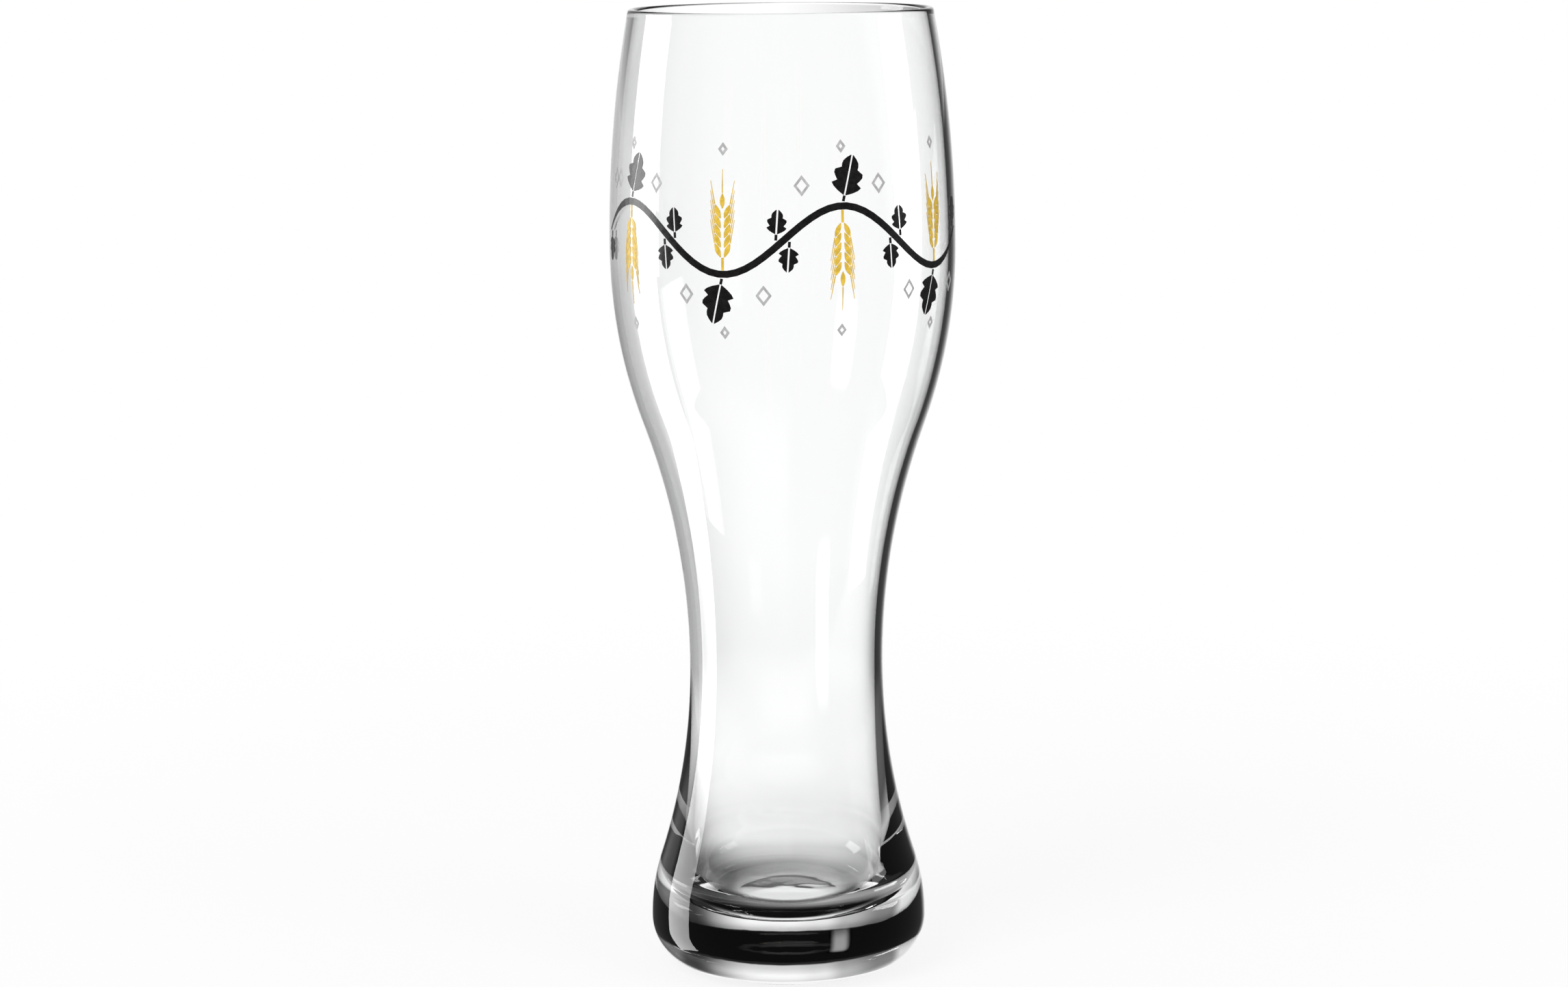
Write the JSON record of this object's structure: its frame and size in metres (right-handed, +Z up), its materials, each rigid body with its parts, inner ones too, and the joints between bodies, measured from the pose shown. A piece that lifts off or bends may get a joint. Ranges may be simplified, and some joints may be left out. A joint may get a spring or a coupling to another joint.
{
  "type": "wheat beer glass",
  "caption": "Tall waisted half-litre wheat-beer glass with a thick rolled foot and an enamel frieze of hop bine and barley round the front of its bowl.",
  "frame": {"origin": "centre of the ring that the glass stands on", "axes": "+Z up the glass's axis, -Y out of the middle of the printed front"},
  "size_m": [0.0854, 0.0855, 0.24],
  "materials": {
    "clear_glass": "clear, fire-polished",
    "black_enamel": "fired enamel, glossy black",
    "gold_enamel": "fired enamel, satin gold yellow",
    "grey_enamel": "fired enamel, satin pale grey"
  },
  "bodies": {
    "root": {"glass_body": "clear_glass", "hop_bine": "black_enamel", "hop_leaves_upper": "black_enamel", "hop_leaves_lower": "black_enamel", "barley_ears_standing": "gold_enamel", "barley_ears_hanging": "gold_enamel", "lozenges_upper": "grey_enamel", "lozenges_lower": "grey_enamel"}
  },
  "joints": []
}
